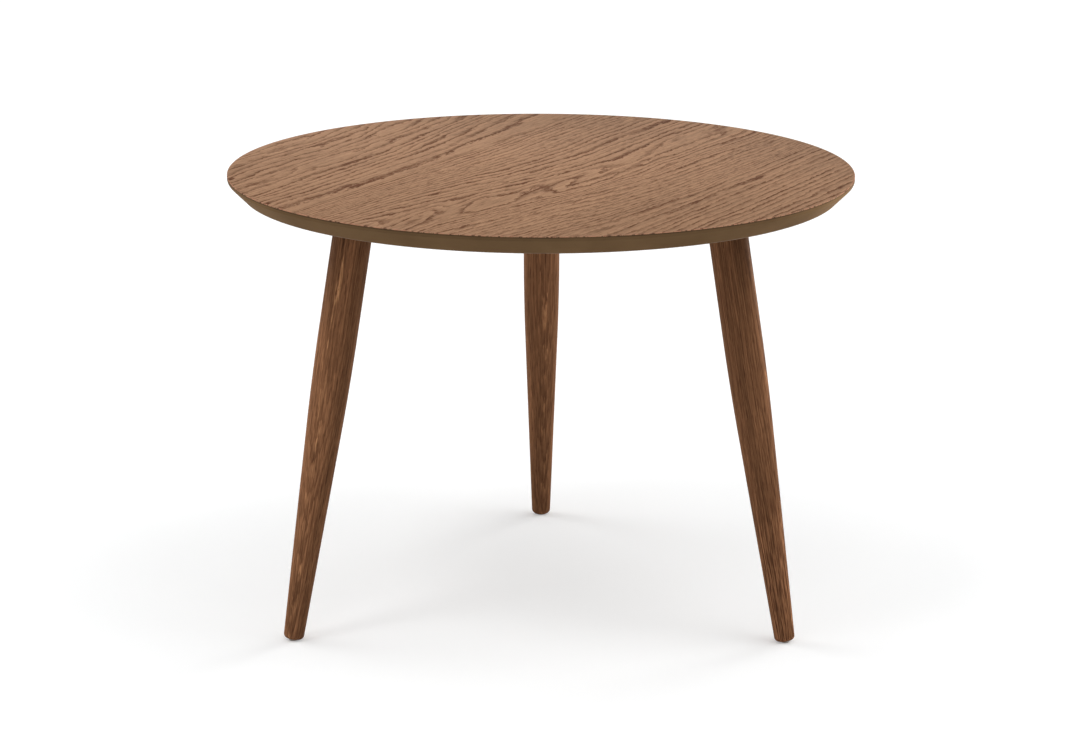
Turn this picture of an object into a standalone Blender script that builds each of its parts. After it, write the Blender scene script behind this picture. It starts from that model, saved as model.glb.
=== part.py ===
"""Round side table: a veneered top with an undercut edge on three splayed, turned legs.

Each leg screws by a hanger bolt into an angled steel plate under the top. Metres, +Z up,
origin on the floor under the middle of the top. The front of the table faces -Y.
"""

import math

import bmesh
import bpy
from mathutils import Matrix, Vector

# Top: fibreboard core with a face veneer above and a backing veneer below
TOP_DIAMETER = 0.600
TABLE_HEIGHT = 0.430
TOP_THICKNESS = 0.018
VENEER_THICKNESS = 0.0006
NOSE_HEIGHT = 0.004
NOSE_ROUND = 0.0015
BEVEL_ANGLE = math.radians(45.0)

# Legs: turned, straight above the knee and tapered below it
LEG_DIRECTIONS = {"rear": 90.0, "front_left": 210.0, "front_right": 330.0}
LEG_INSET = 0.102
LEG_SPLAY = math.radians(10.0)
LEG_DIAMETER = 0.0370
LEG_TOP_ROUND = 0.0010
TAPER_LENGTH = 0.252
KNEE_RADIUS = 2.3
FOOT_DIAMETER = 0.0192
FOOT_ROUND = 0.0040

# Felt pads, pressed level by the table's weight
PAD_DIAMETER = 0.008
PAD_THIN_EDGE = 0.0004

# Angled mounting plates, pressed from steel sheet
PLATE_SIDE = 0.060
PLATE_CORNER_RADIUS = 0.010
PLATE_THICKNESS = 0.002
DOME_BASE_RADIUS = 0.0235
SEAT_RADIUS = 0.0165

# Threaded bush riveted into each plate
BUSH_RADIUS = 0.0070
BUSH_HEIGHT = 0.0050
SPIGOT_RADIUS = 0.0055
BUSH_HEADROOM = 0.0022

# Hanger bolts
BOLT_DIAMETER = 0.0080
BOLT_END_CHAMFER = 0.0010
BOLT_ABOVE_BUSH = 0.0008
BOLT_IN_LEG = 0.042
BOLT_POINT_LENGTH = 0.007
BOLT_HOLE_SPARE = 0.003

# Pan-head wood screws, one in each corner of a plate
SCREW_SPACING = 0.045
SCREW_DIAMETER = 0.0045
SCREW_HEAD_DIAMETER = 0.0090
SCREW_HEAD_HEIGHT = 0.0027
SCREW_HEAD_ROUND = 0.0014
SCREW_POINT_LENGTH = 0.005
SCREW_TIP_COVER = 0.004
PILOT_SPARE = 0.001
RECESS_SPAN = 0.0048
RECESS_WIDTH = 0.0011
RECESS_DEPTH = 0.0016

# Fits and facets
FIT_GAP = 0.0003
CUT_MARGIN = 0.002
TOP_SEGMENTS = 120
LEG_SEGMENTS = 32
HARDWARE_SEGMENTS = 12
ARC_STEPS = 3
CORNER_POINTS = 6
SMOOTH_ANGLE = math.radians(30.0)
MERGE_DISTANCE = 1e-6

# Levels and radii that follow from the sizes above
TOP_RADIUS = TOP_DIAMETER / 2
LEG_CIRCLE_RADIUS = TOP_RADIUS - LEG_INSET
UNDERSIDE = TABLE_HEIGHT - TOP_THICKNESS
BACKER_TOP = UNDERSIDE + VENEER_THICKNESS
CORE_BOTTOM = BACKER_TOP + FIT_GAP
FACE_VENEER_BOTTOM = TABLE_HEIGHT - VENEER_THICKNESS
CORE_TOP = FACE_VENEER_BOTTOM - FIT_GAP
SEAT_DROP = PLATE_THICKNESS + BUSH_HEIGHT + BUSH_RADIUS * math.tan(LEG_SPLAY) + BUSH_HEADROOM
LEG_TOP = -(SEAT_DROP + FIT_GAP)
FLOOR_ON_AXIS = -UNDERSIDE / math.cos(LEG_SPLAY)
PAD_TOP = FLOOR_ON_AXIS + PAD_THIN_EDGE + PAD_DIAMETER / 2 * math.tan(LEG_SPLAY)
LEG_END = PAD_TOP + FIT_GAP
FLANGE_BOTTOM = -(FIT_GAP + PLATE_THICKNESS)
SCREW_SEAT = FLANGE_BOTTOM - FIT_GAP
SCREW_TIP = CORE_TOP - SCREW_TIP_COVER - UNDERSIDE
SCREW_HOLE_RADIUS = SCREW_DIAMETER / 2 + FIT_GAP
BOLT_HOLE_RADIUS = BOLT_DIAMETER / 2 + FIT_GAP


def bevel_radius(height):
    """Radius of the undercut edge at a height below the nose."""
    return TOP_RADIUS - (TABLE_HEIGHT - NOSE_HEIGHT - height) / math.tan(BEVEL_ANGLE)


# Outlines and meshes


def fillet(before, corner, after, radius):
    """Points of an arc that rounds one corner of an outline."""
    here = Vector(corner)
    back = (Vector(before) - here).normalized()
    ahead = (Vector(after) - here).normalized()
    half = back.angle(ahead) / 2
    centre = here + (back + ahead).normalized() * (radius / math.sin(half))
    start = here + back * (radius / math.tan(half)) - centre
    end = here + ahead * (radius / math.tan(half)) - centre
    sweep = math.pi - 2 * half
    points = []
    for step in range(ARC_STEPS + 1):
        share = step / ARC_STEPS
        spoke = start * math.sin((1 - share) * sweep) + end * math.sin(share * sweep)
        points.append(centre + spoke / math.sin(sweep))
    return points


def outline(*corners):
    """(radius, height) points of a turned shape; a third number rounds that corner."""
    points = []
    for index, corner in enumerate(corners):
        if len(corner) == 2:
            points.append(Vector(corner))
        else:
            before, after = corners[index - 1][:2], corners[index + 1][:2]
            points.extend(fillet(before, corner[:2], after, corner[2]))
    return points


def finished(name, shape):
    """Turn a bmesh into a mesh with outward faces and smooth round sides."""
    bmesh.ops.recalc_face_normals(shape, faces=shape.faces)
    mesh = bpy.data.meshes.new(name)
    shape.to_mesh(mesh)
    shape.free()
    mesh.shade_smooth()
    mesh.set_sharp_from_angle(angle=SMOOTH_ANGLE)
    return mesh


def turned(name, points, segments, ring=False):
    """Spin an outline about Z. A ring joins its last point to its first; other shapes get flat ends."""
    shape = bmesh.new()
    corners = [shape.verts.new((point[0], 0.0, point[1])) for point in points]
    pairs = list(zip(corners, corners[1:]))
    if ring:
        pairs.append((corners[-1], corners[0]))
    edges = [shape.edges.new(pair) for pair in pairs]
    bmesh.ops.spin(
        shape, geom=corners + edges, cent=(0, 0, 0), axis=(0, 0, 1),
        angle=2 * math.pi, steps=segments, use_merge=True,
    )
    bmesh.ops.remove_doubles(shape, verts=shape.verts, dist=MERGE_DISTANCE)
    if not ring:
        bmesh.ops.holes_fill(shape, edges=shape.edges, sides=0)
    return finished(name, shape)


def material(name, colour, roughness, metallic=0.0):
    made = bpy.data.materials.new(name)
    made.use_nodes = True
    surface = made.node_tree.nodes["Principled BSDF"]
    surface.inputs["Base Color"].default_value = (*colour, 1.0)
    surface.inputs["Roughness"].default_value = roughness
    surface.inputs["Metallic"].default_value = metallic
    return made


def place(name, mesh, finish=None, parent=None, location=(0, 0, 0)):
    """Add an object to the scene, with its place given in its parent's frame."""
    made = bpy.data.objects.new(name, mesh)
    bpy.context.scene.collection.objects.link(made)
    made.parent = parent
    made.location = location
    if finish and not mesh.materials:
        mesh.materials.append(finish)
    return made


def cutter(name, mesh):
    made = place(name, mesh)
    made.hide_render = True
    made.display_type = "WIRE"
    return made


def cut(piece, tool):
    """Take a cutter out of a piece."""
    boolean = piece.modifiers.new(tool.name, "BOOLEAN")
    boolean.operation = "DIFFERENCE"
    boolean.solver = "EXACT"
    boolean.object = tool


# Top


def core_mesh():
    return turned("top_core", outline(
        (TOP_RADIUS, CORE_TOP),
        (TOP_RADIUS, TABLE_HEIGHT - NOSE_HEIGHT, NOSE_ROUND),
        (bevel_radius(CORE_BOTTOM), CORE_BOTTOM),
    ), TOP_SEGMENTS)


def face_veneer_mesh():
    return turned("top_veneer", outline(
        (TOP_RADIUS, TABLE_HEIGHT),
        (TOP_RADIUS, FACE_VENEER_BOTTOM),
    ), TOP_SEGMENTS)


def backer_mesh():
    return turned("underside_veneer", outline(
        (bevel_radius(BACKER_TOP), BACKER_TOP),
        (bevel_radius(UNDERSIDE), UNDERSIDE),
    ), TOP_SEGMENTS)


# Leg, in the leg's own frame: Z up its axis from where that meets the underside, X outward


def leg_mesh():
    leg_radius, foot_radius = LEG_DIAMETER / 2, FOOT_DIAMETER / 2
    return turned("leg", outline(
        (BOLT_HOLE_RADIUS, LEG_TOP - BOLT_IN_LEG - BOLT_HOLE_SPARE),
        (BOLT_HOLE_RADIUS, LEG_TOP),
        (leg_radius, LEG_TOP, LEG_TOP_ROUND),
        (leg_radius, LEG_END + TAPER_LENGTH, KNEE_RADIUS),
        (foot_radius, LEG_END, FOOT_ROUND),
        (0.0, LEG_END),
    ), LEG_SEGMENTS)


def pad_mesh():
    """A felt disc, square to the leg above and level with the floor below."""
    shape = bmesh.new()
    bmesh.ops.create_cone(
        shape, cap_ends=True, segments=HARDWARE_SEGMENTS, depth=1.0,
        radius1=PAD_DIAMETER / 2, radius2=PAD_DIAMETER / 2,
    )
    for corner in shape.verts:
        floor = FLOOR_ON_AXIS - corner.co.x * math.tan(LEG_SPLAY)
        corner.co.z = PAD_TOP if corner.co.z > 0 else floor
    return finished("felt_pad", shape)


def bush_mesh():
    """Threaded bush: its body lies inside the plate's dome, its spigot in the plate's hole."""
    body_bottom = -SEAT_DROP + PLATE_THICKNESS + FIT_GAP
    return turned("plate_bush", outline(
        (BOLT_HOLE_RADIUS, body_bottom + BUSH_HEIGHT),
        (BUSH_RADIUS, body_bottom + BUSH_HEIGHT),
        (BUSH_RADIUS, body_bottom),
        (SPIGOT_RADIUS, body_bottom),
        (SPIGOT_RADIUS, -SEAT_DROP),
        (BOLT_HOLE_RADIUS, -SEAT_DROP),
    ), HARDWARE_SEGMENTS, ring=True)


def bolt_mesh():
    radius = BOLT_DIAMETER / 2
    end = -SEAT_DROP + PLATE_THICKNESS + FIT_GAP + BUSH_HEIGHT + BOLT_ABOVE_BUSH
    tip = LEG_TOP - BOLT_IN_LEG
    return turned("hanger_bolt", outline(
        (radius - BOLT_END_CHAMFER, end),
        (radius, end - BOLT_END_CHAMFER),
        (radius, tip + BOLT_POINT_LENGTH),
        (0.0, tip),
    ), HARDWARE_SEGMENTS)


# Plate and screws, in the plate's frame: Z up from the underside, X outward


def flange_ring():
    """Rounded square of the plate's flange, with the directions in which its points lie."""
    straight = PLATE_SIDE / 2 - PLATE_CORNER_RADIUS
    ring, directions = [], []
    for quarter in range(4):
        corner = Matrix.Rotation(math.radians(90 * quarter), 2) @ Vector((straight, straight))
        for step in range(CORNER_POINTS):
            angle = math.radians(90 * quarter + 90 * (step + 0.5) / CORNER_POINTS)
            direction = Vector((math.cos(angle), math.sin(angle)))
            directions.append(direction)
            ring.append((*(corner + direction * PLATE_CORNER_RADIUS), FLANGE_BOTTOM))
    return ring, directions


def plate_mesh():
    """Underside of the pressed plate: flat flange, dome wall and tilted seat with the bush's hole."""
    tilt = Matrix.Rotation(-LEG_SPLAY, 4, "Y") @ Matrix.Translation((0, 0, -SEAT_DROP))
    flange, directions = flange_ring()
    hole_radius = SPIGOT_RADIUS + FIT_GAP
    rings = [
        flange,
        [(*(direction * DOME_BASE_RADIUS), FLANGE_BOTTOM) for direction in directions],
        [tilt @ (direction * SEAT_RADIUS).to_3d() for direction in directions],
        [tilt @ (direction * hole_radius).to_3d() for direction in directions],
    ]
    shape = bmesh.new()
    loops = [[shape.verts.new(point) for point in ring] for ring in rings]
    for outer, inner in zip(loops, loops[1:]):
        for here in range(len(outer)):
            shape.faces.new((outer[here], outer[here - 1], inner[here - 1], inner[here]))
    mesh = bpy.data.meshes.new("mount_plate")
    shape.to_mesh(mesh)
    shape.free()
    return mesh


def screw_blank_mesh():
    """Pan-head wood screw, pointing up, with its head's bearing face at the origin."""
    head, shank = SCREW_HEAD_DIAMETER / 2, SCREW_DIAMETER / 2
    tip = SCREW_TIP - SCREW_SEAT
    return turned("screw_blank", outline(
        (0.0, tip),
        (shank, tip - SCREW_POINT_LENGTH),
        (shank, 0.0),
        (head, 0.0),
        (head, -SCREW_HEAD_HEIGHT, SCREW_HEAD_ROUND),
        (0.0, -SCREW_HEAD_HEIGHT),
    ), HARDWARE_SEGMENTS)


def recess_mesh():
    """Cross-shaped driver recess, reaching up into the head."""
    shape = bmesh.new()
    height = RECESS_DEPTH + CUT_MARGIN
    middle = -SCREW_HEAD_HEIGHT + RECESS_DEPTH - height / 2
    half_span, half_width = RECESS_SPAN / 2, RECESS_WIDTH / 2
    cross = [
        (half_width, half_width), (half_width, half_span), (-half_width, half_span),
        (-half_width, half_width), (-half_span, half_width), (-half_span, -half_width),
        (-half_width, -half_width), (-half_width, -half_span), (half_width, -half_span),
        (half_width, -half_width), (half_span, -half_width), (half_span, half_width),
    ]
    face = shape.faces.new([shape.verts.new((x, y, middle - height / 2)) for x, y in cross])
    raised = bmesh.ops.extrude_face_region(shape, geom=[face])
    corners = [item for item in raised["geom"] if isinstance(item, bmesh.types.BMVert)]
    bmesh.ops.translate(shape, verts=corners, vec=(0, 0, height))
    return finished("driver_recess", shape)


def screw_mesh():
    """The screw with its recess cut, made once and shared by every screw."""
    blank = place("screw_blank", screw_blank_mesh())
    recess = cutter("driver_recess", recess_mesh())
    cut(blank, recess)
    graph = bpy.context.evaluated_depsgraph_get()
    mesh = bpy.data.meshes.new_from_object(blank.evaluated_get(graph))
    mesh.name = "plate_screw"
    for helper in (blank, recess):
        bpy.data.objects.remove(helper)
    return mesh


def screw_places():
    half = SCREW_SPACING / 2
    return [(x, y) for x in (-half, half) for y in (-half, half)]


def screw_hole_mesh(stations):
    """One drill for each screw, through plate and backer and into the core."""
    low = FLANGE_BOTTOM - CUT_MARGIN
    high = SCREW_TIP + PILOT_SPARE
    shape = bmesh.new()
    for station in stations:
        for x, y in screw_places():
            drill = station @ Matrix.Translation((x, y, (low + high) / 2))
            bmesh.ops.create_cone(
                shape, cap_ends=True, segments=HARDWARE_SEGMENTS, depth=high - low,
                radius1=SCREW_HOLE_RADIUS, radius2=SCREW_HOLE_RADIUS, matrix=drill,
            )
    return finished("screw_drills", shape)


def main():
    for leftover in list(bpy.data.objects):
        bpy.data.objects.remove(leftover)

    oak_veneer = material("stained_oak_veneer", (0.34, 0.20, 0.12), 0.45)
    edge_lacquer = material("stained_edge", (0.14, 0.085, 0.042), 0.40)
    backing = material("backing_veneer", (0.20, 0.12, 0.07), 0.60)
    oak = material("stained_oak", (0.17, 0.08, 0.04), 0.45)
    black_steel = material("black_steel", (0.02, 0.02, 0.021), 0.45, 0.6)
    zinc = material("zinc_plate", (0.60, 0.60, 0.58), 0.35, 1.0)
    felt = material("wool_felt", (0.50, 0.46, 0.41), 0.95)

    stations, axes = {}, {}
    for leg, direction in LEG_DIRECTIONS.items():
        turn = math.radians(direction)
        station = place(f"plate_station_{leg}", None)
        station.location = (
            LEG_CIRCLE_RADIUS * math.cos(turn), LEG_CIRCLE_RADIUS * math.sin(turn), UNDERSIDE)
        station.rotation_euler = (0, 0, turn)
        stations[leg] = station
        axes[leg] = place(f"leg_axis_{leg}", None, parent=station)
        axes[leg].rotation_euler = (0, -LEG_SPLAY, 0)
    bpy.context.view_layer.update()
    drills = cutter("screw_drills", screw_hole_mesh([s.matrix_world for s in stations.values()]))

    place("top_veneer", face_veneer_mesh(), oak_veneer)
    for drilled in (
        place("top_core", core_mesh(), edge_lacquer),
        place("underside_veneer", backer_mesh(), backing),
    ):
        cut(drilled, drills)

    leg_shape, pad_shape, bush_shape, bolt_shape = leg_mesh(), pad_mesh(), bush_mesh(), bolt_mesh()
    plate_shape, screw_shape = plate_mesh(), screw_mesh()
    for leg in LEG_DIRECTIONS:
        place(f"leg_{leg}", leg_shape, oak, axes[leg])
        place(f"felt_pad_{leg}", pad_shape, felt, axes[leg])
        place(f"plate_bush_{leg}", bush_shape, zinc, axes[leg])
        place(f"hanger_bolt_{leg}", bolt_shape, zinc, axes[leg])
        plate = place(f"mount_plate_{leg}", plate_shape, black_steel, stations[leg])
        sheet = plate.modifiers.new("sheet_thickness", "SOLIDIFY")
        sheet.thickness = PLATE_THICKNESS
        sheet.offset = -1.0
        sheet.use_even_offset = True
        cut(plate, drills)
        for number, (x, y) in enumerate(screw_places(), start=1):
            place(f"plate_screw_{leg}_{number}", screw_shape, zinc, stations[leg], (x, y, SCREW_SEAT))


main()
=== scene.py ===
import math

import bmesh
import bpy
from mathutils import Matrix, Vector


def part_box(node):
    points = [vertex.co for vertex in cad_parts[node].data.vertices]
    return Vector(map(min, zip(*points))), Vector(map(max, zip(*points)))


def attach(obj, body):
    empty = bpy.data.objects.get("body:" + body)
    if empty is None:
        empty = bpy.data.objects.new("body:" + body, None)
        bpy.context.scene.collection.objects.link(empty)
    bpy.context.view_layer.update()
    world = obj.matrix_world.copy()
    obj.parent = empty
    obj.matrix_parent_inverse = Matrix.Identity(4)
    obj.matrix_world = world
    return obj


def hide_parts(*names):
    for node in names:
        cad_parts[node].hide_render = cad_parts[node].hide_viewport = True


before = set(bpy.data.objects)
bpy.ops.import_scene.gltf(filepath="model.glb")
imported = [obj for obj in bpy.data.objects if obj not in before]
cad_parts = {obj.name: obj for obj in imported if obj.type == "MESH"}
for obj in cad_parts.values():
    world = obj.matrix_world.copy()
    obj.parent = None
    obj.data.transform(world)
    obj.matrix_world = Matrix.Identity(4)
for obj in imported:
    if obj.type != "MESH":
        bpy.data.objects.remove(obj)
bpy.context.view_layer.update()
print("frame loaded:", len(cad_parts), "nodes")

mergeDistance = 1e-6
fitGap = 0.0003   # between pieces that touch
topSteps = 288    # facets round the top
legNames = ("rear", "front_left", "front_right")

# where the legs stand, in the frame that the solids share
legStand = {
    "circleRadius": 0.198,   # where the leg axes meet the underside
    "splay": math.radians(10.0),
    "directions": {"rear": 90.0, "front_left": 210.0, "front_right": 330.0},   # degrees round the table
    "seatDrop": 0.010434,    # from the underside to the plate's seat, along the leg
}
faceLow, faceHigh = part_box("top_veneer")
backLow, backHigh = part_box("underside_veneer")
topRadius = faceHigh.x
topLevel = faceHigh.z
underLevel = backLow.z
floorOnAxis = -underLevel / math.cos(legStand["splay"])   # where a leg's axis meets the floor


def plateFrame(leg):
    turn = Matrix.Rotation(math.radians(legStand["directions"][leg]), 4, "Z")
    return turn @ Matrix.Translation((legStand["circleRadius"], 0, underLevel))


def legFrame(leg):
    return plateFrame(leg) @ Matrix.Rotation(-legStand["splay"], 4, "Y")


def turnProfile(points, steps):
    # a turned shape from (radius, height) points
    shape = bmesh.new()
    corners = [shape.verts.new((radius, 0, height)) for radius, height in points]
    edges = [shape.edges.new(pair) for pair in zip(corners, corners[1:])]
    bmesh.ops.spin(shape, geom=corners + edges, cent=(0, 0, 0), axis=(0, 0, 1),
                   angle=2 * math.pi, steps=steps, use_merge=True)
    bmesh.ops.remove_doubles(shape, verts=shape.verts, dist=mergeDistance)
    bmesh.ops.dissolve_degenerate(shape, edges=shape.edges, dist=mergeDistance)
    bmesh.ops.recalc_face_normals(shape, faces=shape.faces)
    return shape


def ringEdges(shape, radius, height, slack=2e-5):
    # the edges that run round a turned shape at one radius and height
    def onRing(corner):
        return abs(corner.co.xy.length - radius) < slack and abs(corner.co.z - height) < slack
    return [edge for edge in shape.edges if all(onRing(corner) for corner in edge.verts)]


def roundEdges(shape, edges, size, segments):
    bmesh.ops.bevel(shape, geom=edges, offset=size, offset_type="OFFSET",
                    affect="EDGES", segments=segments, profile=0.5, material=-1)


def roundRing(shape, radius, height, size, segments):
    roundEdges(shape, ringEdges(shape, radius, height), size, segments)


def sharpEdges(shape, angle):
    return [edge for edge in shape.edges if edge.calc_face_angle(0.0) > math.radians(angle)]


def finishPiece(name, shape, finish, nodes, place=None, smoothAngle=35.0):
    if place:
        bmesh.ops.transform(shape, matrix=place, verts=shape.verts)
    mesh = bpy.data.meshes.new(name)
    shape.to_mesh(mesh)
    shape.free()
    mesh.shade_smooth()
    mesh.set_sharp_from_angle(angle=math.radians(smoothAngle))
    mesh.materials.append(finish)
    piece = bpy.data.objects.new(name, mesh)
    bpy.context.scene.collection.objects.link(piece)
    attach(piece, "root")
    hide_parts(*nodes)
    return piece


class Wire:
    # an output socket; sums on it add Math nodes
    def __init__(self, tree, socket=None):
        self.tree, self.socket = tree, socket

    def node(self, kind, settings=None, sockets=None, output=0):
        made = self.tree.nodes.new("ShaderNode" + kind)
        for name, value in (settings or {}).items():
            if name == "stops":
                ramp = made.color_ramp.elements
                for index, (position, level) in enumerate(value):
                    stop = ramp[index] if index < len(ramp) else ramp.new(position)
                    stop.position, stop.color = position, (level, level, level, 1)
            elif name == "blend":
                made.color_ramp.interpolation = value
            else:
                setattr(made, name, value)
        for key, value in (sockets or {}).items():
            if isinstance(value, Wire):
                self.tree.links.new(value.socket, made.inputs[key])
            else:
                made.inputs[key].default_value = value
        return Wire(self.tree, made.outputs[output] if len(made.outputs) else None)

    def out(self, name):
        return Wire(self.tree, self.socket.node.outputs[name])

    def math(self, operation, *others):
        return self.node("Math", {"operation": operation}, dict(enumerate((self, *others))))

    def __add__(self, other):
        return self.math("ADD", other)

    def __sub__(self, other):
        return self.math("SUBTRACT", other)

    def __rsub__(self, other):
        return self.node("Math", {"operation": "SUBTRACT"}, {0: other, 1: self})

    def __mul__(self, other):
        return self.math("MULTIPLY", other)

    def __truediv__(self, other):
        return self.math("DIVIDE", other)

    __radd__ = __add__
    __rmul__ = __mul__


def newFinish(name):
    material = bpy.data.materials.new(name)
    material.use_nodes = True
    material.node_tree.nodes.clear()
    return material, Wire(material.node_tree)


def closeFinish(start, sockets):
    surface = start.node("BsdfPrincipled", None, sockets)
    start.node("OutputMaterial", None, {"Surface": surface})


def ease(wire, low, high):
    # smooth step from 0 at low to 1 at high
    return wire.node("MapRange", {"interpolation_type": "SMOOTHSTEP"},
                     {0: wire, 1: low, 2: high, 3: 0.0, 4: 1.0})


def bell(wire, middle, reach):
    # 1 near the middle, 0 beyond the reach
    return 1 - ease((wire - middle).math("ABSOLUTE"), reach * 0.35, reach)


def mixColour(factor, first, second):
    paints = [paint if isinstance(paint, Wire) else (*paint, 1) for paint in (first, second)]
    return factor.node("Mix", {"data_type": "RGBA"}, {0: factor, 6: paints[0], 7: paints[1]}, 2)


def shadeColour(colour, tone):
    return colour.node("VectorMath", {"operation": "SCALE"}, {0: colour, "Scale": tone})


def grainNoise(along, across, alongScale, acrossScale, seed, detail=0.0, depth=None):
    # noise drawn out along the grain, from 0 to 1
    run, width = along * alongScale, across * acrossScale
    third = depth * acrossScale + seed if depth else 0.61 * run + 0.47 * width + seed
    spot = along.node("CombineXYZ", None, {0: run, 1: width, 2: third})
    return along.node("TexNoise", {"noise_dimensions": "3D"},
                      {"Vector": spot, "Scale": 1.0, "Detail": detail, "Roughness": 0.55})


def bumpOf(height, strength, distance):
    return height.node("Bump", None, {"Strength": strength, "Distance": distance, "Height": height})


# face veneer: crown-cut oak with a matt brown stain
# the figure gives growth rings, counted from the crown, at distances across the grain
veneer = {
    "grainAngle": 62.0,                        # degrees from +X
    "crownPlace": -0.068,                      # across the grain
    "crownBend": (0.060, -0.34, 0.05),         # how far it starts off, and the run in which it settles
    "crownReach": 0.042,
    "sweep": 0.030,                            # how far the far leaf sweeps up at its end
    "flameZone": (0.215, 0.275),               # where the far leaf turns to broad flames
    "fleckZones": ((0.130, 0.042), (-0.078, 0.046)),   # middle and reach
    "figureReach": (-0.28, 0.40),
    "figureRings": 50.0,
    "figure": [(-0.28, 41.0), (-0.11, 14.0), (-0.042, 4.6), (-0.026, 1.7), (-0.012, 0.20),
               (0.012, 0.15), (0.030, 1.5), (0.060, 4.4), (0.110, 9.8), (0.150, 15.5),
               (0.172, 17.6), (0.245, 23.2), (0.40, 40.0)],
    "late": (0.350, 0.2025, 0.1185),
    "early": (0.128, 0.056, 0.032),
    "poreShade": (0.095, 0.036, 0.019),
    "wornRim": (0.43, 0.205, 0.124),
    "rimChip": (0.085, 0.040, 0.026),
    "rimWear": (0.0012, 0.0004),               # from the edge: where the wear starts and is full
    "rimRound": 0.00035,
}


def oakVeneerFinish():
    material, start = newFinish("stainedOakVeneer")
    spot = start.node("TexCoord", output="Object")
    turned = start.node("Mapping", {"vector_type": "POINT"},
                        {"Vector": spot, "Rotation": (0, 0, -math.radians(veneer["grainAngle"]))})
    along = start.node("SeparateXYZ", None, {"Vector": turned})
    across = along.out("Y")

    # the crown wanders across the grain, and the far leaf sweeps up towards one end
    startOff, bendFrom, bendTo = veneer["crownBend"]
    middleLeaf = (1 - ease(across, 0.03, 0.11)) * ease(across, -0.24, -0.08)
    crownLine = veneer["crownPlace"] + startOff * (1 - ease(along, bendFrom, bendTo)) * middleLeaf
    sweep = veneer["sweep"] * ease(along, 0.0, 0.27) * ease(across, 0.095, 0.165)
    sway = 0.014 * (grainNoise(along, across, 2.8, 7.0, 3.1) - 0.5) \
        + 0.009 * (grainNoise(along, across, 9.0, 24.0, 7.7, 1.0) - 0.5)
    side = across - crownLine - sweep + sway
    low, high = veneer["figureReach"]
    stops = [((place - low) / (high - low), rings / veneer["figureRings"])
             for place, rings in veneer["figure"]]
    figure = start.node("ValToRGB", {"stops": stops, "blend": "B_SPLINE"},
                        {0: (side - low) / (high - low)})

    crown = bell(side, 0.0, veneer["crownReach"])
    flame = ease(side, *veneer["flameZone"])
    askew = across - 0.20 * along   # the patches lie a little askew to the grain
    islands = (grainNoise(along, askew, 7.5, 38.0, 1.4) - 0.5) * (0.5 + 2.8 * crown + 1.6 * flame)
    swirls = (grainNoise(along, askew, 24.0, 85.0, 6.3, 1.0) - 0.5) * (0.55 + 0.3 * crown + 0.4 * flame)
    jags = (grainNoise(along, across, 80.0, 260.0, 5.2, 2.0) - 0.5) * 0.50
    teeth = (grainNoise(along, across, 150.0, 650.0, 7.4, 2.0) - 0.5) * 0.55
    lean = (grainNoise(along, across, 1.2, 60.0, 9.9, 1.0) - 0.5) * 1.5   # wide and narrow rings
    ring = figure * veneer["figureRings"] + lean + islands + swirls + jags + teeth
    age = ring.math("FRACT")
    vigour = ring.node("TexWhiteNoise", {"noise_dimensions": "1D"}, {"W": ring.math("FLOOR")})

    # early wood: a dark porous band at the start of each ring, broken into dashes
    band = ease(age, 0.0, 0.06) * (1 - ease(age, 0.10, 0.52))
    dashes = ease(grainNoise(along, across, 40.0, 380.0, 2.6, 3.0), 0.40, 0.57)
    fade = ease(grainNoise(along, across, 9.0, 46.0, 8.8, 1.0), 0.32, 0.62)
    farFlecks, nearFlecks = (bell(side, *zone) for zone in veneer["fleckZones"])
    fleckZone = farFlecks + nearFlecks
    bold = 1 + 0.20 * ease(side, 0.15, 0.19) - 0.22 * flame - 0.40 * fleckZone
    strength = (0.45 + 0.55 * dashes) * (0.40 + 0.60 * vigour) * (0.48 + 0.52 * fade) * bold
    early = (1.75 * band * strength).math("MINIMUM", 1.0)

    # pores everywhere, most in the early wood; short ticks in the fleck zones
    fine = grainNoise(along, across, 75.0, 640.0, 4.4, 3.0)
    pores = ease(fine, 0.52, 0.62) * (0.30 + 0.70 * band)
    ticks = ease(grainNoise(along, across, 60.0, 500.0, 6.6, 3.0), 0.53, 0.61)
    ticks = ticks * (0.55 + 0.45 * fleckZone) * (1 - 0.5 * fade)
    streaks = grainNoise(along, across, 11.0, 300.0, 1.9, 3.0)
    cloud = grainNoise(along, across, 2.6, 7.0, 5.5, 1.0)

    colour = mixColour(early, veneer["late"], veneer["early"])
    colour = mixColour(0.52 * pores + 0.62 * ticks, colour, veneer["poreShade"])
    leaf = 1.0 - 0.20 * ease(along, 0.05, 0.28) - 0.12 * ease(across, -0.06, -0.24)
    leaf = leaf + 0.10 * ease(age, 0.55, 0.95)
    colour = shadeColour(colour, leaf + 0.62 * (streaks - 0.5) + 0.16 * (cloud - 0.5))

    # the stain is rubbed thin along the rim
    place = start.node("SeparateXYZ", None, {"Vector": spot})
    reach = (place * place + place.out("Y") * place.out("Y")).math("SQRT")
    wornFrom, wornFull = veneer["rimWear"]
    rim = ease(reach, topRadius - wornFrom, topRadius - wornFull)
    nicks = grainNoise(place, place.out("Y"), 260.0, 260.0, 9.3, 2.0)
    colour = mixColour(rim * ease(nicks, 0.44, 0.58), colour, veneer["wornRim"])
    colour = mixColour(0.9 * rim * ease(1 - nicks, 0.54, 0.64), colour, veneer["rimChip"])

    height = 0.6 * streaks - pores - 0.5 * early - 0.35 * ticks
    closeFinish(start, {
        "Base Color": colour, "Roughness": 0.62 + 0.12 * early + 0.08 * (streaks - 0.5) + 0.10 * pores,
        "Specular IOR Level": 0.015, "Normal": bumpOf(height, 0.20, 0.0003),
    })
    return material


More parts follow.
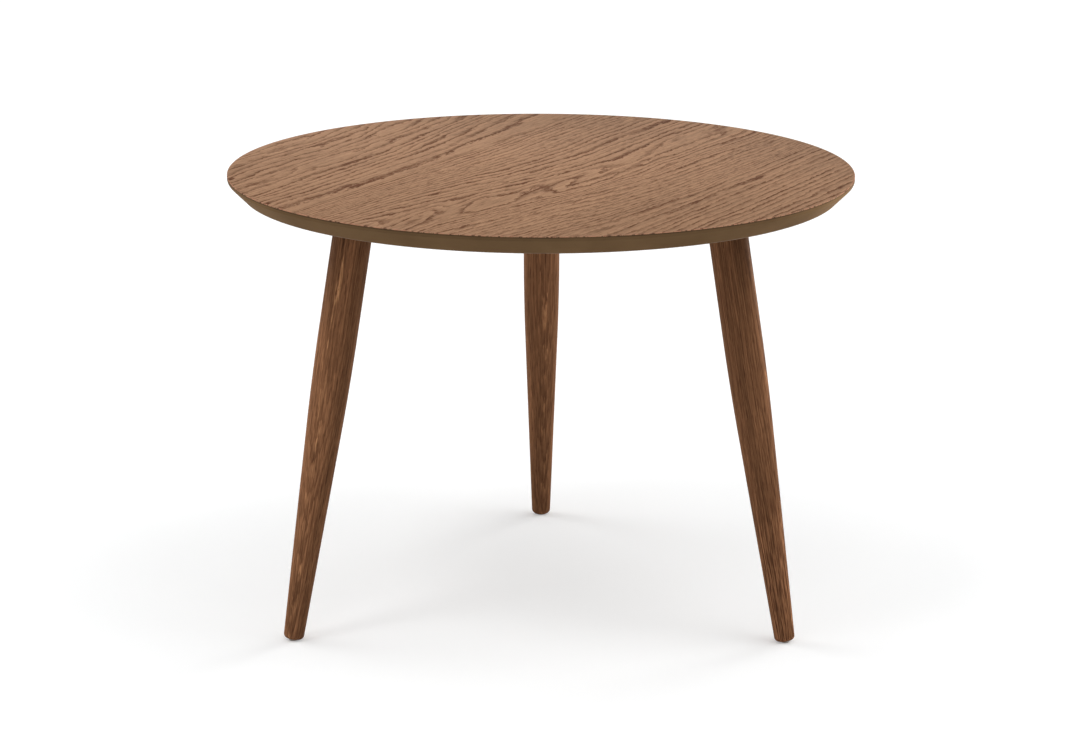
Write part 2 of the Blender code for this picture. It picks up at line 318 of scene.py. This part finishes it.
def makeFace():
    shape = turnProfile([(0, topLevel), (topRadius, topLevel), (topRadius, faceLow.z), (0, faceLow.z)],
                        topSteps)
    roundRing(shape, topRadius, topLevel, veneer["rimRound"], 3)
    return finishPiece("tabletopFace", shape, oakVeneerFinish(), ["top_veneer"])


# core: stained fibreboard with an upright nose and an undercut edge
core = {
    "noseHeight": 0.004,
    "noseRound": 0.0006,
    "stain": (0.156, 0.0935, 0.046),
    "stainDeep": (0.115, 0.0665, 0.0325),
    "stainPale": (0.195, 0.117, 0.059),
    "paintedNoseShade": 0.88,        # painted shade: the upright nose is drawn darker
    "glueLine": (0.055, 0.034, 0.020),
}


def stainedEdgeFinish():
    material, start = newFinish("stainedEdge")
    spot = start.node("TexCoord", output="Object")
    x = start.node("SeparateXYZ", None, {"Vector": spot})
    y, z = x.out("Y"), x.out("Z")
    cloud = grainNoise(x, y, 14.0, 14.0, 2.2, 3.0, z)
    brush = grainNoise(x, y, 22.0, 22.0, 6.1, 2.0, z * 22)
    fibre = grainNoise(x, y, 900.0, 900.0, 3.3, 2.0, z)
    specks = ease(grainNoise(x, y, 420.0, 420.0, 8.1, 1.0, z), 0.66, 0.76)
    colour = mixColour(ease(cloud, 0.30, 0.70), core["stainDeep"], core["stainPale"])
    colour = mixColour(0.45 + 0.25 * brush, colour, core["stain"])
    colour = mixColour(0.25 * specks + 0.12 * fibre, colour, core["stainDeep"])
    noseLevel = topLevel - core["noseHeight"]
    # painted shade on the upright nose
    nose = ease(z + 0.0008 * (cloud - 0.5), noseLevel - 0.0004, noseLevel + 0.0005)
    paintedSideLight = 0.55 * ease(x, 0.215, 0.275) + 0.18 * ease(x, -0.225, -0.275)   # painted light: paler at two places, the ends of the edge that face the side lamps
    colour = shadeColour(colour, (1 + paintedSideLight) * (1 - (1 - core["paintedNoseShade"]) * nose))
    glueLine = ease(z, faceLow.z - 0.0014, faceLow.z - 0.0005) * (0.5 + 0.5 * ease(brush, 0.35, 0.60))
    colour = mixColour(0.8 * glueLine, colour, core["glueLine"])
    closeFinish(start, {
        "Base Color": colour, "Roughness": 0.44 + 0.14 * cloud + 0.06 * fibre,
        "Specular IOR Level": 0.004, "Normal": bumpOf(0.5 * fibre + 0.8 * brush, 0.12, 0.0004),
    })
    return material


def makeCore():
    noseLevel = topLevel - core["noseHeight"]
    lowRadius = topRadius - (noseLevel - backHigh.z)
    shape = turnProfile([(0, faceLow.z), (topRadius, faceLow.z), (topRadius, noseLevel),
                         (lowRadius, backHigh.z), (0, backHigh.z)], topSteps)
    roundRing(shape, topRadius, noseLevel, core["noseRound"], 4)
    return finishPiece("tabletopCore", shape, stainedEdgeFinish(), ["top_core"],
                       smoothAngle=30.0)


# backing veneer: straight-grained and plainer than the face
backing = {
    "grainAngle": 62.0,
    "pale": (0.235, 0.145, 0.085),
    "dark": (0.120, 0.068, 0.038),
}


def backingFinish():
    material, start = newFinish("backingVeneer")
    spot = start.node("TexCoord", output="Object")
    turned = start.node("Mapping", {"vector_type": "POINT"},
                        {"Vector": spot, "Rotation": (0, 0, -math.radians(backing["grainAngle"]))})
    along = start.node("SeparateXYZ", None, {"Vector": turned})
    across = along.out("Y")
    sway = (grainNoise(along, across, 1.6, 5.0, 2.0) - 0.5) * 0.02
    lines = grainNoise(along, across + sway, 3.0, 190.0, 4.0, 3.0)
    pores = ease(grainNoise(along, across, 90.0, 1300.0, 8.0, 1.0), 0.57, 0.70)
    colour = mixColour(ease(lines, 0.30, 0.72), backing["dark"], backing["pale"])
    colour = mixColour(0.5 * pores, colour, backing["dark"])
    closeFinish(start, {
        "Base Color": colour, "Roughness": 0.58 + 0.14 * lines, "Specular IOR Level": 0.3,
        "Normal": bumpOf(lines - pores, 0.3, 0.0003),
    })
    return material


def makeBacking():
    lowRadius = backHigh.x - (backHigh.z - underLevel)
    shape = turnProfile([(0, backHigh.z), (backHigh.x, backHigh.z), (lowRadius, underLevel),
                         (0, underLevel)], topSteps)
    return finishPiece("backingFace", shape, backingFinish(), ["underside_veneer"])


# legs: turned solid oak with a satin reddish-brown stain; heights run along the leg from the underside
legTurning = {
    "diameter": 0.0370,
    "topRound": 0.0010,
    "taperLength": 0.252,
    "kneeSoftness": 0.040,
    "footDiameter": 0.0192,
    "footRound": 0.0040,
    "boltHole": 0.0043,
    "boltHoleDepth": 0.045,
    "steps": 96,
}
legOak = {
    "ringWidth": 0.0017,
    "pithDistance": 0.055,
    "climb": 0.012,          # how fast the rings run out of the leg along its length
    "flatFace": {"rear": 195.0, "front_left": 41.0, "front_right": 12.0},   # degrees round the leg
    "tone": {"rear": 1.26, "front_left": 1.58, "front_right": 1.17},
    "fleckShare": {"rear": 0.40, "front_left": 0.58, "front_right": 0.60},
    "ringShare": {"rear": 0.55, "front_left": 0.70, "front_right": 0.75},
    "lineShare": {"rear": 0.40, "front_left": 0.54, "front_right": 0.46},
    "footLines": {"rear": 0.0, "front_left": 0.35, "front_right": 0.90},   # coarse dark grain low down
    "paintedSideShade": {"rear": 0.0, "front_left": 0.45, "front_right": 0.0},     # painted shade: the inner side of a leg is drawn darker
    "darkFoot": {"rear": 0.20, "front_left": 0.12, "front_right": 0.0},    # darker towards the foot
    "paintedShadeUnderTop": 0.42,         # painted shade near the top, on the side that faces out, where the tabletop overhangs
    "middle": (0.172, 0.079, 0.038),
    "late": (0.258, 0.122, 0.059),
    "fleck": (0.400, 0.195, 0.092),
    "early": (0.094, 0.041, 0.020),
    "poreShade": (0.050, 0.020, 0.010),
}


def legOakFinish(leg):
    material, start = newFinish("turnedOak_" + leg)
    spot = start.node("TexCoord", output="Object")
    stand = legFrame(leg)
    own = start.node("Mapping", {"vector_type": "TEXTURE"}, {
        "Vector": spot, "Location": stand.to_translation(), "Rotation": stand.to_euler("XYZ")})
    faced = start.node("Mapping", {"vector_type": "POINT"}, {
        "Vector": own, "Rotation": (0, 0, -math.radians(legOak["flatFace"][leg]))})
    toward = start.node("SeparateXYZ", None, {"Vector": faced})
    aside, along = toward.out("Y"), toward.out("Z")
    seed = 10.0 * legNames.index(leg)

    # growth rings round a pith outside the leg; the taper cuts them into crowns on the flat face
    wander = (grainNoise(along, aside, 5.0, 18.0, seed + 1.0, 1.0, toward) - 0.5) * 0.0030
    reach = toward + legOak["pithDistance"] + along * legOak["climb"] + wander
    pith = (reach * reach + aside * aside).math("SQRT")
    islands = (grainNoise(along, aside, 22.0, 340.0, seed + 2.0, 1.0, toward) - 0.5) * 1.4
    jags = (grainNoise(along, aside, 110.0, 1000.0, seed + 3.0, 1.0, toward) - 0.5) * 0.9
    ring = pith / legOak["ringWidth"] + islands + jags
    age = ring.math("FRACT")
    vigour = ring.node("TexWhiteNoise", {"noise_dimensions": "1D"}, {"W": ring.math("FLOOR") + seed})
    early = ease(age, 0.0, 0.12) * (1 - ease(age, 0.20, 0.55)) * (0.40 + 0.60 * vigour)
    late = ease(age, 0.50, 0.80) * (1 - ease(age, 0.92, 1.0))

    # late wood shows widest down the flat face, as pale flecks; fine fibres and pores all round
    strip = bell(aside, 0.0, 0.0046) * ease(toward, 0.0, 0.004)
    patches = ease(grainNoise(along, aside, 20.0, 320.0, seed + 8.0, 2.0, toward), 0.48, 0.55)
    pores = ease(grainNoise(along, aside, 70.0, 850.0, seed + 5.0, 2.0, toward), 0.53, 0.62)
    pores = pores * (0.45 + 0.55 * early)
    lines = ease(grainNoise(along, aside, 28.0, 680.0, seed + 9.0, 3.0, toward), 0.50, 0.58)
    low = ease(along, -0.22, -0.34) * legOak["footLines"][leg]
    coarse = ease(grainNoise(along, aside, 12.0, 860.0, seed + 11.0, 1.0, toward), 0.48, 0.56)
    fibres = grainNoise(along, aside, 9.0, 880.0, seed + 6.0, 3.0, toward)
    cloud = grainNoise(along, aside, 6.0, 40.0, seed + 7.0, 2.0, toward)
    years = grainNoise(pith, along, 190.0, 0.8, seed + 4.0, 1.0)   # good and lean years

    flecks = legOak["fleckShare"][leg] * (1.0 + 0.7 * ease(along, -0.26, -0.14))
    colour = mixColour(legOak["ringShare"][leg] * early, legOak["middle"], legOak["early"])
    colour = mixColour(late * (0.30 + 0.40 * strip * flecks), colour, legOak["late"])
    colour = mixColour(late * strip * patches * flecks, colour, legOak["fleck"])
    colour = mixColour(legOak["lineShare"][leg] * lines, colour, legOak["early"])
    colour = mixColour(0.6 * pores, colour, legOak["poreShade"])
    paler = shadeColour(colour, 1.0 + 0.45 * low * low)
    colour = mixColour(0.85 * low * coarse, paler, legOak["poreShade"])
    turn = aside / (toward * toward + aside * aside).math("SQRT")
    outward = start.node("SeparateXYZ", None, {"Vector": own})
    # painted shade where the tabletop overhangs the outer side of the leg
    underTopShade = ease(along, -0.13, -0.03) * ease(outward, 0.004, 0.016)
    # painted shade on the inner side of the leg
    tone = legOak["tone"][leg] * (1 - legOak["paintedSideShade"][leg] * ease(turn, 0.35, 0.98))
    tone = tone * (1 - legOak["paintedShadeUnderTop"] * underTopShade)
    tone = tone * (1 - legOak["darkFoot"][leg] * ease(along, -0.32, -0.39))
    mottle = 1.0 + 1.25 * (fibres - 0.5) + 0.35 * (cloud - 0.5) + 0.55 * (years - 0.5)
    colour = shadeColour(colour, tone * mottle)
    closeFinish(start, {
        "Base Color": colour, "Roughness": 0.48 + 0.14 * pores + 0.10 * (fibres - 0.5),
        "Specular IOR Level": 0.008, "Normal": bumpOf(0.5 * fibres - pores - 0.3 * early, 0.30, 0.0003),
    })
    return material


def makeLeg(leg):
    radius, foot = legTurning["diameter"] / 2, legTurning["footDiameter"] / 2
    top, end = -(legStand["seatDrop"] + fitGap), feltTop() + fitGap
    knee, holeEnd = end + legTurning["taperLength"], top - legTurning["boltHoleDepth"]
    shape = turnProfile([(0, holeEnd), (legTurning["boltHole"], holeEnd), (legTurning["boltHole"], top),
                         (radius, top), (radius, knee), (foot, end), (0, end)], legTurning["steps"])
    roundRing(shape, radius, top, legTurning["topRound"], 4)
    roundRing(shape, foot, end, legTurning["footRound"], 8)
    roundRing(shape, radius, knee, legTurning["kneeSoftness"], 12)
    return finishPiece("turnedLeg_" + leg, shape, legOakFinish(leg), ["leg_" + leg],
                       legFrame(leg), 40.0)


# felt discs under the feet: square to the leg above, level with the floor below
feltDisc = {
    "radius": 0.0040,
    "thinEdge": 0.0004,
    "stock": 0.006,          # the rod that it is cut from
    "edgeRound": 0.00012,
    "steps": 64,
    "pile": (0.50, 0.46, 0.41),
    "pileDeep": (0.36, 0.33, 0.29),
    "pileTip": (0.62, 0.58, 0.53),
}


def feltTop():
    return floorOnAxis + feltDisc["thinEdge"] + feltDisc["radius"] * math.tan(legStand["splay"])


def feltFinish():
    material, start = newFinish("woolFelt")
    x = start.node("SeparateXYZ", None, {"Vector": start.node("TexCoord", output="Object")})
    y, z = x.out("Y"), x.out("Z")
    mat = grainNoise(x, y, 900.0, 900.0, 1.0, 3.0, z)
    fibresA = ease(grainNoise(x + y, y - x, 700.0, 4200.0, 4.0, 1.0, z), 0.55, 0.66)
    fibresB = ease(grainNoise(x - 0.4 * y, y + 0.4 * x, 4200.0, 700.0, 7.0, 1.0, z), 0.56, 0.67)
    colour = mixColour(ease(mat, 0.30, 0.70), feltDisc["pileDeep"], feltDisc["pile"])
    colour = mixColour(0.6 * fibresA.math("MAXIMUM", fibresB), colour, feltDisc["pileTip"])
    closeFinish(start, {
        "Base Color": colour, "Roughness": 0.90 + 0.08 * mat, "Specular IOR Level": 0.15,
        "Sheen Weight": 0.25, "Sheen Roughness": 0.6,
        "Normal": bumpOf(mat + 0.5 * fibresA + 0.5 * fibresB, 0.7, 0.0004),
    })
    return material


def makeFeltDisc(leg, finish):
    radius, stock = feltDisc["radius"], feltDisc["stock"]
    shape = bmesh.new()
    bmesh.ops.create_cone(shape, cap_ends=True, segments=feltDisc["steps"], radius1=radius,
                          radius2=radius, depth=stock,
                          matrix=Matrix.Translation((0, 0, feltTop() - stock / 2)))
    upright = legFrame(leg).to_3x3().inverted() @ Vector((0, 0, 1))
    bmesh.ops.bisect_plane(shape, geom=shape.verts[:] + shape.edges[:] + shape.faces[:],
                           dist=mergeDistance, plane_co=(0, 0, floorOnAxis), plane_no=upright,
                           clear_inner=True)
    bmesh.ops.holes_fill(shape, edges=shape.edges, sides=0)
    bmesh.ops.recalc_face_normals(shape, faces=shape.faces)
    roundEdges(shape, sharpEdges(shape, 60), feltDisc["edgeRound"], 3)
    return finishPiece("feltDisc_" + leg, shape, finish, ["felt_pad_" + leg],
                       legFrame(leg), 50.0)


# angled plates: pressed steel with a tilted seat for the leg and a flat flange
anglePlate = {
    "holeRadius": 0.0058,
    "seatRadius": 0.0165,
    "domeRadius": 0.0235,
    "side": 0.060,
    "cornerRadius": 0.010,
    "thickness": 0.002,
    "bend": 0.0018,
    "edgeRound": 0.0004,
    "steps": 96,
    "coat": (0.020, 0.020, 0.021),
    "coatDust": (0.048, 0.046, 0.043),
    "bareSteel": (0.30, 0.29, 0.28),
}


def flangeLevel():
    return -(fitGap + anglePlate["thickness"])


def blackCoatFinish():
    material, start = newFinish("blackPowderCoat")
    spot = start.node("TexCoord", output="Object")
    x = start.node("SeparateXYZ", None, {"Vector": spot})
    y, z = x.out("Y"), x.out("Z")
    peel = grainNoise(x, y, 1100.0, 1100.0, 2.0, 1.0, z)
    specks = ease(grainNoise(x, y, 2600.0, 2600.0, 5.0, 0.0, z), 0.68, 0.78)
    dust = ease(grainNoise(x, y, 60.0, 60.0, 8.0, 3.0, z), 0.42, 0.72)
    scuffs = ease(grainNoise(x + 0.6 * y, y - 0.6 * x, 30.0, 1600.0, 3.0, 1.0, z), 0.70, 0.78)
    colour = mixColour(0.45 * dust + 0.35 * specks, anglePlate["coat"], anglePlate["coatDust"])
    colour = mixColour(0.30 * scuffs, colour, anglePlate["bareSteel"])
    closeFinish(start, {
        "Base Color": colour, "Roughness": 0.42 + 0.10 * peel + 0.16 * dust,
        "Specular IOR Level": 0.45, "Normal": bumpOf(peel + 0.3 * specks, 0.22, 0.0003),
    })
    return material


def growRing(shape, edges):
    # carries a ring of edges on to a new ring, still in the same place
    grown = bmesh.ops.extrude_edge_only(shape, edges=edges)["geom"]
    corners = [item for item in grown if isinstance(item, bmesh.types.BMVert)]
    ring = [item for item in grown if isinstance(item, bmesh.types.BMEdge)
            and all(corner in corners for corner in item.verts)]
    return ring, corners


def makePlate(leg, finish):
    drop = Matrix.Translation((0, 0, -legStand["seatDrop"]))
    seat = Matrix.Rotation(-legStand["splay"], 4, "Y") @ drop
    shape = bmesh.new()
    bmesh.ops.create_circle(shape, segments=anglePlate["steps"], radius=anglePlate["holeRadius"],
                            matrix=seat @ Matrix.Rotation(math.pi / anglePlate["steps"], 4, "Z"))
    seatRim, corners = growRing(shape, shape.edges[:])
    widen = Matrix.Scale(anglePlate["seatRadius"] / anglePlate["holeRadius"], 4)
    bmesh.ops.transform(shape, matrix=seat @ widen @ seat.inverted(), verts=corners)
    domeRim, corners = growRing(shape, seatRim)
    widen = Matrix.Scale(anglePlate["domeRadius"] / anglePlate["seatRadius"], 4)
    level = Matrix.Translation((0, 0, flangeLevel()))
    bmesh.ops.transform(shape, matrix=level @ widen @ seat.inverted(), verts=corners)
    rim, corners = growRing(shape, domeRim)
    cornerRadius = anglePlate["cornerRadius"]
    straight = anglePlate["side"] / 2 - cornerRadius
    for corner in corners:
        way = corner.co.xy.normalized()
        corner.co.xy = [math.copysign(straight, part) + cornerRadius * part for part in way]
    roundEdges(shape, seatRim + domeRim, anglePlate["bend"], 4)
    bmesh.ops.recalc_face_normals(shape, faces=shape.faces)
    if sum(face.normal.z for face in shape.faces) > 0:
        bmesh.ops.reverse_faces(shape, faces=shape.faces)
    bmesh.ops.solidify(shape, geom=shape.faces[:], thickness=anglePlate["thickness"])
    roundEdges(shape, sharpEdges(shape, 65), anglePlate["edgeRound"], 2)
    return finishPiece("anglePlate_" + leg, shape, finish, ["mount_plate_" + leg],
                       plateFrame(leg), 40.0)


# pan-head screws that hold the plates, heads down; heights run up from under the head
panScrew = {
    "spacing": 0.045,
    "headRadius": 0.0045,
    "headHeight": 0.0027,
    "headRound": 0.0014,
    "shankRadius": 0.00225,
    "tip": 0.0157,
    "point": 0.005,
    "recessSpan": 0.0048,
    "recessWidth": 0.0011,
    "recessDepth": 0.0016,
    "recessTaper": 0.72,     # size of the cross at its bottom, as a share
    "turns": (37.0, 11.0),   # degrees from screw to screw, and from plate to plate
    "steps": 48,
    "plating": (0.62, 0.62, 0.60),
    "platingBlue": (0.52, 0.55, 0.60),
    "platingDull": (0.36, 0.35, 0.33),
}


def zincFinish():
    material, start = newFinish("brightZinc")
    spot = start.node("TexCoord", output="Object")
    x = start.node("SeparateXYZ", None, {"Vector": spot})
    y, z = x.out("Y"), x.out("Z")
    tint = grainNoise(x, y, 160.0, 160.0, 1.0, 2.0, z)
    bloom = ease(grainNoise(x, y, 420.0, 420.0, 5.0, 3.0, z), 0.48, 0.74)
    grit = grainNoise(x, y, 3200.0, 3200.0, 9.0, 1.0, z)
    colour = mixColour(ease(tint, 0.35, 0.65), panScrew["plating"], panScrew["platingBlue"])
    colour = mixColour(0.7 * bloom, colour, panScrew["platingDull"])
    closeFinish(start, {
        "Base Color": colour, "Metallic": 1.0 - 0.15 * bloom,
        "Roughness": 0.24 + 0.22 * bloom + 0.08 * grit,
        "Normal": bumpOf(grit + 0.6 * bloom, 0.15, 0.0001),
    })
    return material


def makeScrew(leg, number, finish):
    head, floor = panScrew["headRadius"], -panScrew["headHeight"]
    shank, tip = panScrew["shankRadius"], panScrew["tip"]
    shape = turnProfile([(0, tip), (shank, tip - panScrew["point"]), (shank, 0), (head, 0),
                         (head, floor), (0, floor)], panScrew["steps"])
    roundRing(shape, head, floor, panScrew["headRound"], 6)
    halfSpan, halfWidth = panScrew["recessSpan"] / 2, panScrew["recessWidth"] / 2

    def flatFaces():
        return [face for face in shape.faces
                if all(abs(corner.co.z - floor) < mergeDistance for corner in face.verts)]

    # the cross is cut into the flat of the head, then pushed in
    for cut in (halfSpan, halfWidth, -halfWidth, -halfSpan):
        for axis in (Vector((1, 0, 0)), Vector((0, 1, 0))):
            faces = flatFaces()
            edges = {edge for face in faces for edge in face.edges}
            corners = {corner for face in faces for corner in face.verts}
            bmesh.ops.bisect_plane(shape, geom=[*faces, *edges, *corners], dist=mergeDistance,
                                   plane_co=axis * cut, plane_no=axis)
    cross = []
    for face in flatFaces():
        x, y = (abs(part) for part in face.calc_center_median().xy)
        if min(x, y) < halfWidth and max(x, y) < halfSpan:
            cross.append(face)
    pushed = bmesh.ops.extrude_face_region(shape, geom=cross)["geom"]
    corners = [item for item in pushed if isinstance(item, bmesh.types.BMVert)]
    bmesh.ops.scale(shape, vec=(panScrew["recessTaper"], panScrew["recessTaper"], 1), verts=corners)
    bmesh.ops.translate(shape, vec=(0, 0, panScrew["recessDepth"]), verts=corners)
    bmesh.ops.recalc_face_normals(shape, faces=shape.faces)
    half = panScrew["spacing"] / 2
    sideways = ((half, half), (-half, half), (-half, -half), (half, -half))[number - 1]
    perScrew, perPlate = panScrew["turns"]
    turn = math.radians(perScrew * number + perPlate * legNames.index(leg))
    place = plateFrame(leg) @ Matrix.Translation((*sideways, flangeLevel() - fitGap)) \
        @ Matrix.Rotation(turn, 4, "Z")
    name = f"{leg}_{number}"
    return finishPiece("panScrew_" + name, shape, finish, ["plate_screw_" + name], place, 40.0)


# stage: pale floor, soft lamps round about, low windows and the camera
stage = {
    "floorReach": 9.0,
    "floorColour": (0.791, 0.800, 0.804),
    "glow": 0.256,            # lifts the open floor to white for the camera
    "ambient": 0.40,
    "cameraDistance": 3.0027,
    "cameraHeight": 1.0274,
    "cameraAside": -0.0004,
    "orbit": 0.23,            # degrees round the table
    "pitch": 15.0,            # degrees down
    "roll": 0.16,
    "focalPixels": 3184.6,
    "imageWidth": 1080,
    "sensorWidth": 36.0,      # millimetres
    "lampDistance": 3.0,
}
softLights = {
    # azimuth, elevation and spread in degrees, and the level on a surface that faces the lamp
    "frontLeft": (-143.0, 60.0, 15.0, 0.117),
    "frontRight": (-36.0, 60.0, 30.0, 0.112),
    "front": (-90.0, 60.0, 20.0, 0.046),
    "left": (180.0, 60.0, 30.0, 0.066),
    "right": (0.0, 60.0, 30.0, 0.060),
    "back": (90.0, 66.0, 45.0, 0.058),
    "leftWindow": (155.0, 9.0, 40.0, 0.56),
    "rightWindow": (0.0, 15.0, 60.0, 0.40),
    "backPanel": (45.0, 4.0, 30.0, 1.00),
}


def seenWhite(start):
    # camera, mirror and glass rays see the white of the studio
    ray = start.node("LightPath")
    return ray.out("Is Camera Ray").math("MAXIMUM", ray.out("Is Glossy Ray")) \
        .math("MAXIMUM", ray.out("Is Transmission Ray"))


def makeFloor():
    shape = bmesh.new()
    bmesh.ops.create_grid(shape, x_segments=1, y_segments=1, size=stage["floorReach"])
    mesh = bpy.data.meshes.new("paleFloor")
    shape.to_mesh(mesh)
    shape.free()
    material, start = newFinish("paleFloor")
    paint = start.node("BsdfDiffuse", None, {"Color": (*stage["floorColour"], 1)})
    glow = start.node("Emission", None, {"Strength": stage["glow"]})
    seen = start.node("AddShader", None, {0: paint, 1: glow})
    lit = start.node("MixShader", None, {0: seenWhite(start), 1: paint, 2: seen})
    clear = start.node("BsdfTransparent")
    below = start.node("NewGeometry", output="Backfacing")   # the floor is clear from below
    surface = start.node("MixShader", None, {0: below, 1: lit, 2: clear})
    start.node("OutputMaterial", None, {"Surface": surface})
    mesh.materials.append(material)
    floor = bpy.data.objects.new("paleFloor", mesh)
    bpy.context.scene.collection.objects.link(floor)


def makeLight():
    world = bpy.data.worlds.new("studio")
    bpy.context.scene.world = world
    world.use_nodes = True
    world.node_tree.nodes.clear()
    start = Wire(world.node_tree)
    shade = start.node("Background", None, {"Color": (1, 1, 1, 1), "Strength": stage["ambient"]})
    white = start.node("Background", None, {"Color": (1, 1, 1, 1), "Strength": 1.0})
    air = start.node("MixShader", None, {0: seenWhite(start), 1: shade, 2: white})
    start.node("OutputWorld", None, {"Surface": air})
    for name, (azimuth, elevation, spread, level) in softLights.items():
        lamp = bpy.data.lights.new(name, "SUN")
        lamp.angle, lamp.energy = math.radians(spread), level * math.pi
        light = bpy.data.objects.new(name, lamp)
        turn = Matrix.Rotation(math.radians(azimuth), 4, "Z")
        tilt = Matrix.Rotation(math.radians(90 - elevation), 4, "Y")
        light.matrix_world = turn @ tilt @ Matrix.Translation((0, 0, stage["lampDistance"]))
        bpy.context.scene.collection.objects.link(light)


def makeCamera():
    lens = bpy.data.cameras.new("photoCamera")
    lens.sensor_fit, lens.sensor_width = "HORIZONTAL", stage["sensorWidth"]
    lens.lens = stage["focalPixels"] / stage["imageWidth"] * stage["sensorWidth"]
    camera = bpy.data.objects.new("photoCamera", lens)
    camera.matrix_world = Matrix.Rotation(math.radians(stage["orbit"]), 4, "Z") \
        @ Matrix.Translation((stage["cameraAside"], -stage["cameraDistance"], stage["cameraHeight"])) \
        @ Matrix.Rotation(math.radians(90 - stage["pitch"]), 4, "X") \
        @ Matrix.Rotation(math.radians(stage["roll"]), 4, "Z")
    bpy.context.scene.collection.objects.link(camera)
    bpy.context.scene.camera = camera
    bpy.context.scene.view_settings.view_transform = "Standard"


makeFace()
makeCore()
makeBacking()
print("top made")
felt, blackCoat, zinc = feltFinish(), blackCoatFinish(), zincFinish()
for legName in legNames:
    makeLeg(legName)
    makeFeltDisc(legName, felt)
    makePlate(legName, blackCoat)
    for screwNumber in range(1, 5):
        makeScrew(legName, screwNumber, zinc)
    for fitting in ("plate_bush_", "hanger_bolt_"):
        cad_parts[fitting + legName].material_slots[0].material = zinc
print("legs and their fittings made")
makeFloor()
makeLight()
makeCamera()
print("stage set")
